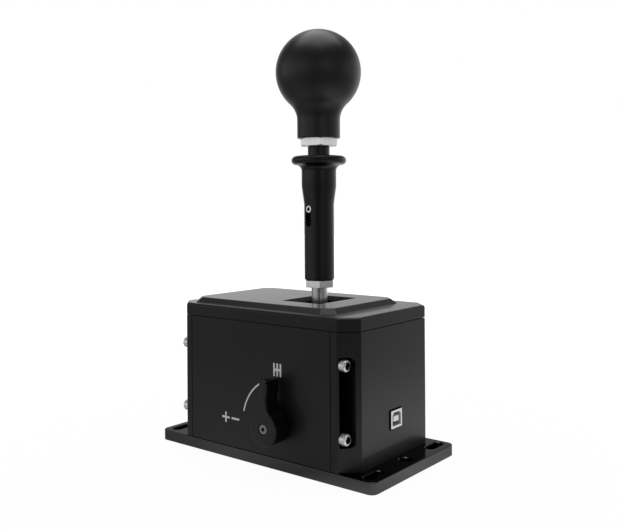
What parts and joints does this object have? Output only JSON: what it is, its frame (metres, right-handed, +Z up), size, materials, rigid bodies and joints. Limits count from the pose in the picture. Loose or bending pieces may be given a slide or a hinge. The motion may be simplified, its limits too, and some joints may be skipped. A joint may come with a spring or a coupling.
{
  "type": "sim racing gear shifter",
  "caption": "Box-shaped gear shifter on a slotted base plate, with a ball knob on a tilting lever, a lift sleeve under the knob and a mode selector on the front.",
  "frame": {"origin": "middle of the base plate's underside", "axes": "+Z up along the lever, +X to the right along the front panel, +Y to the back"},
  "size_m": [0.174, 0.1055, 0.2732],
  "materials": {
    "anodised_aluminium": "black anodised over bead blasting",
    "satin_black_aluminium": "satin black anodised turning",
    "satin_black_plastic": "satin moulding",
    "stainless_steel": "turned and bright",
    "machined_steel": "machined",
    "spring_steel": "drawn wire",
    "nickel_plate": "plated sheet",
    "pale_nylon": "moulded",
    "bronze": "turned",
    "circuit_board": "solder resist",
    "black_moulding": "moulded"
  },
  "bodies": {
    "housing": {"base_plate": "anodised_aluminium", "left_end_plate": "anodised_aluminium", "right_end_plate": "anodised_aluminium", "front_panel": "anodised_aluminium", "rear_panel": "anodised_aluminium", "lid": "anodised_aluminium", "corner_screws": "stainless_steel", "tie_bolts": "machined_steel", "left_bracket": "machined_steel", "right_bracket": "machined_steel", "bracket_screws": "machined_steel", "bracket_bushes": "bronze", "gate_plate": "machined_steel", "gate_spacers": "machined_steel", "gate_screws": "machined_steel", "spring_seats": "bronze", "select_springs": "spring_steel", "main_board": "circuit_board", "board_chips": "black_moulding", "board_spacers": "machined_steel", "board_screws": "machined_steel", "usb_shell": "nickel_plate", "usb_tongue": "pale_nylon", "selector_bush": "bronze", "mode_detent_block": "machined_steel", "mode_detent_plunger": "machined_steel", "mode_detent_screws": "machined_steel", "mode_switch": "black_moulding"},
    "gimbal": {"gimbal_frame": "machined_steel", "select_trunnions": "machined_steel", "throw_bushes": "bronze", "select_magnet": "machined_steel", "throw_sensor_board": "circuit_board", "sensor_posts": "machined_steel", "throw_detent_plunger": "machined_steel"},
    "lever": {"pivot_block": "machined_steel", "pivot_set_screw": "machined_steel", "throw_trunnions": "machined_steel", "throw_magnet": "machined_steel", "detent_disc": "machined_steel", "lever_rod": "stainless_steel", "gate_finger": "machined_steel", "lower_nut": "stainless_steel", "knob_adapter": "satin_black_aluminium", "guide_screw": "stainless_steel", "lift_spring": "spring_steel", "upper_nut": "stainless_steel", "shift_knob": "satin_black_plastic", "knob_insert": "bronze"},
    "lift": {"lift_sleeve": "satin_black_aluminium"},
    "selector": {"selector_lever": "satin_black_aluminium", "selector_screw": "stainless_steel", "selector_shaft": "machined_steel", "mode_cam": "machined_steel"}
  },
  "joints": [
    {"name": "select_tilt", "type": "hinge", "parent": "housing", "child": "gimbal", "pos_m": [0.0145, 0, 0.052], "axis": [1, 0, 0], "range_deg": [-12, 12], "stiffness_Nm_per_rad": 4, "deforming": ["select_springs"]},
    {"name": "gear_throw", "type": "hinge", "parent": "gimbal", "child": "lever", "pos_m": [0.0145, 0, 0.052], "axis": [0, 1, 0], "range_deg": [-10, 10]},
    {"name": "sleeve_lift", "type": "slide", "parent": "lever", "child": "lift", "axis": [0, 0, 1], "range_m": [0, 0.0059], "stiffness_N_per_m": 400, "springref_m": -0.008, "deforming": ["lift_spring"]},
    {"name": "mode_select", "type": "hinge", "parent": "housing", "child": "selector", "pos_m": [0.0178, -0.05, 0.0276], "axis": [0, -1, 0], "range_deg": [0, 90]}
  ]
}
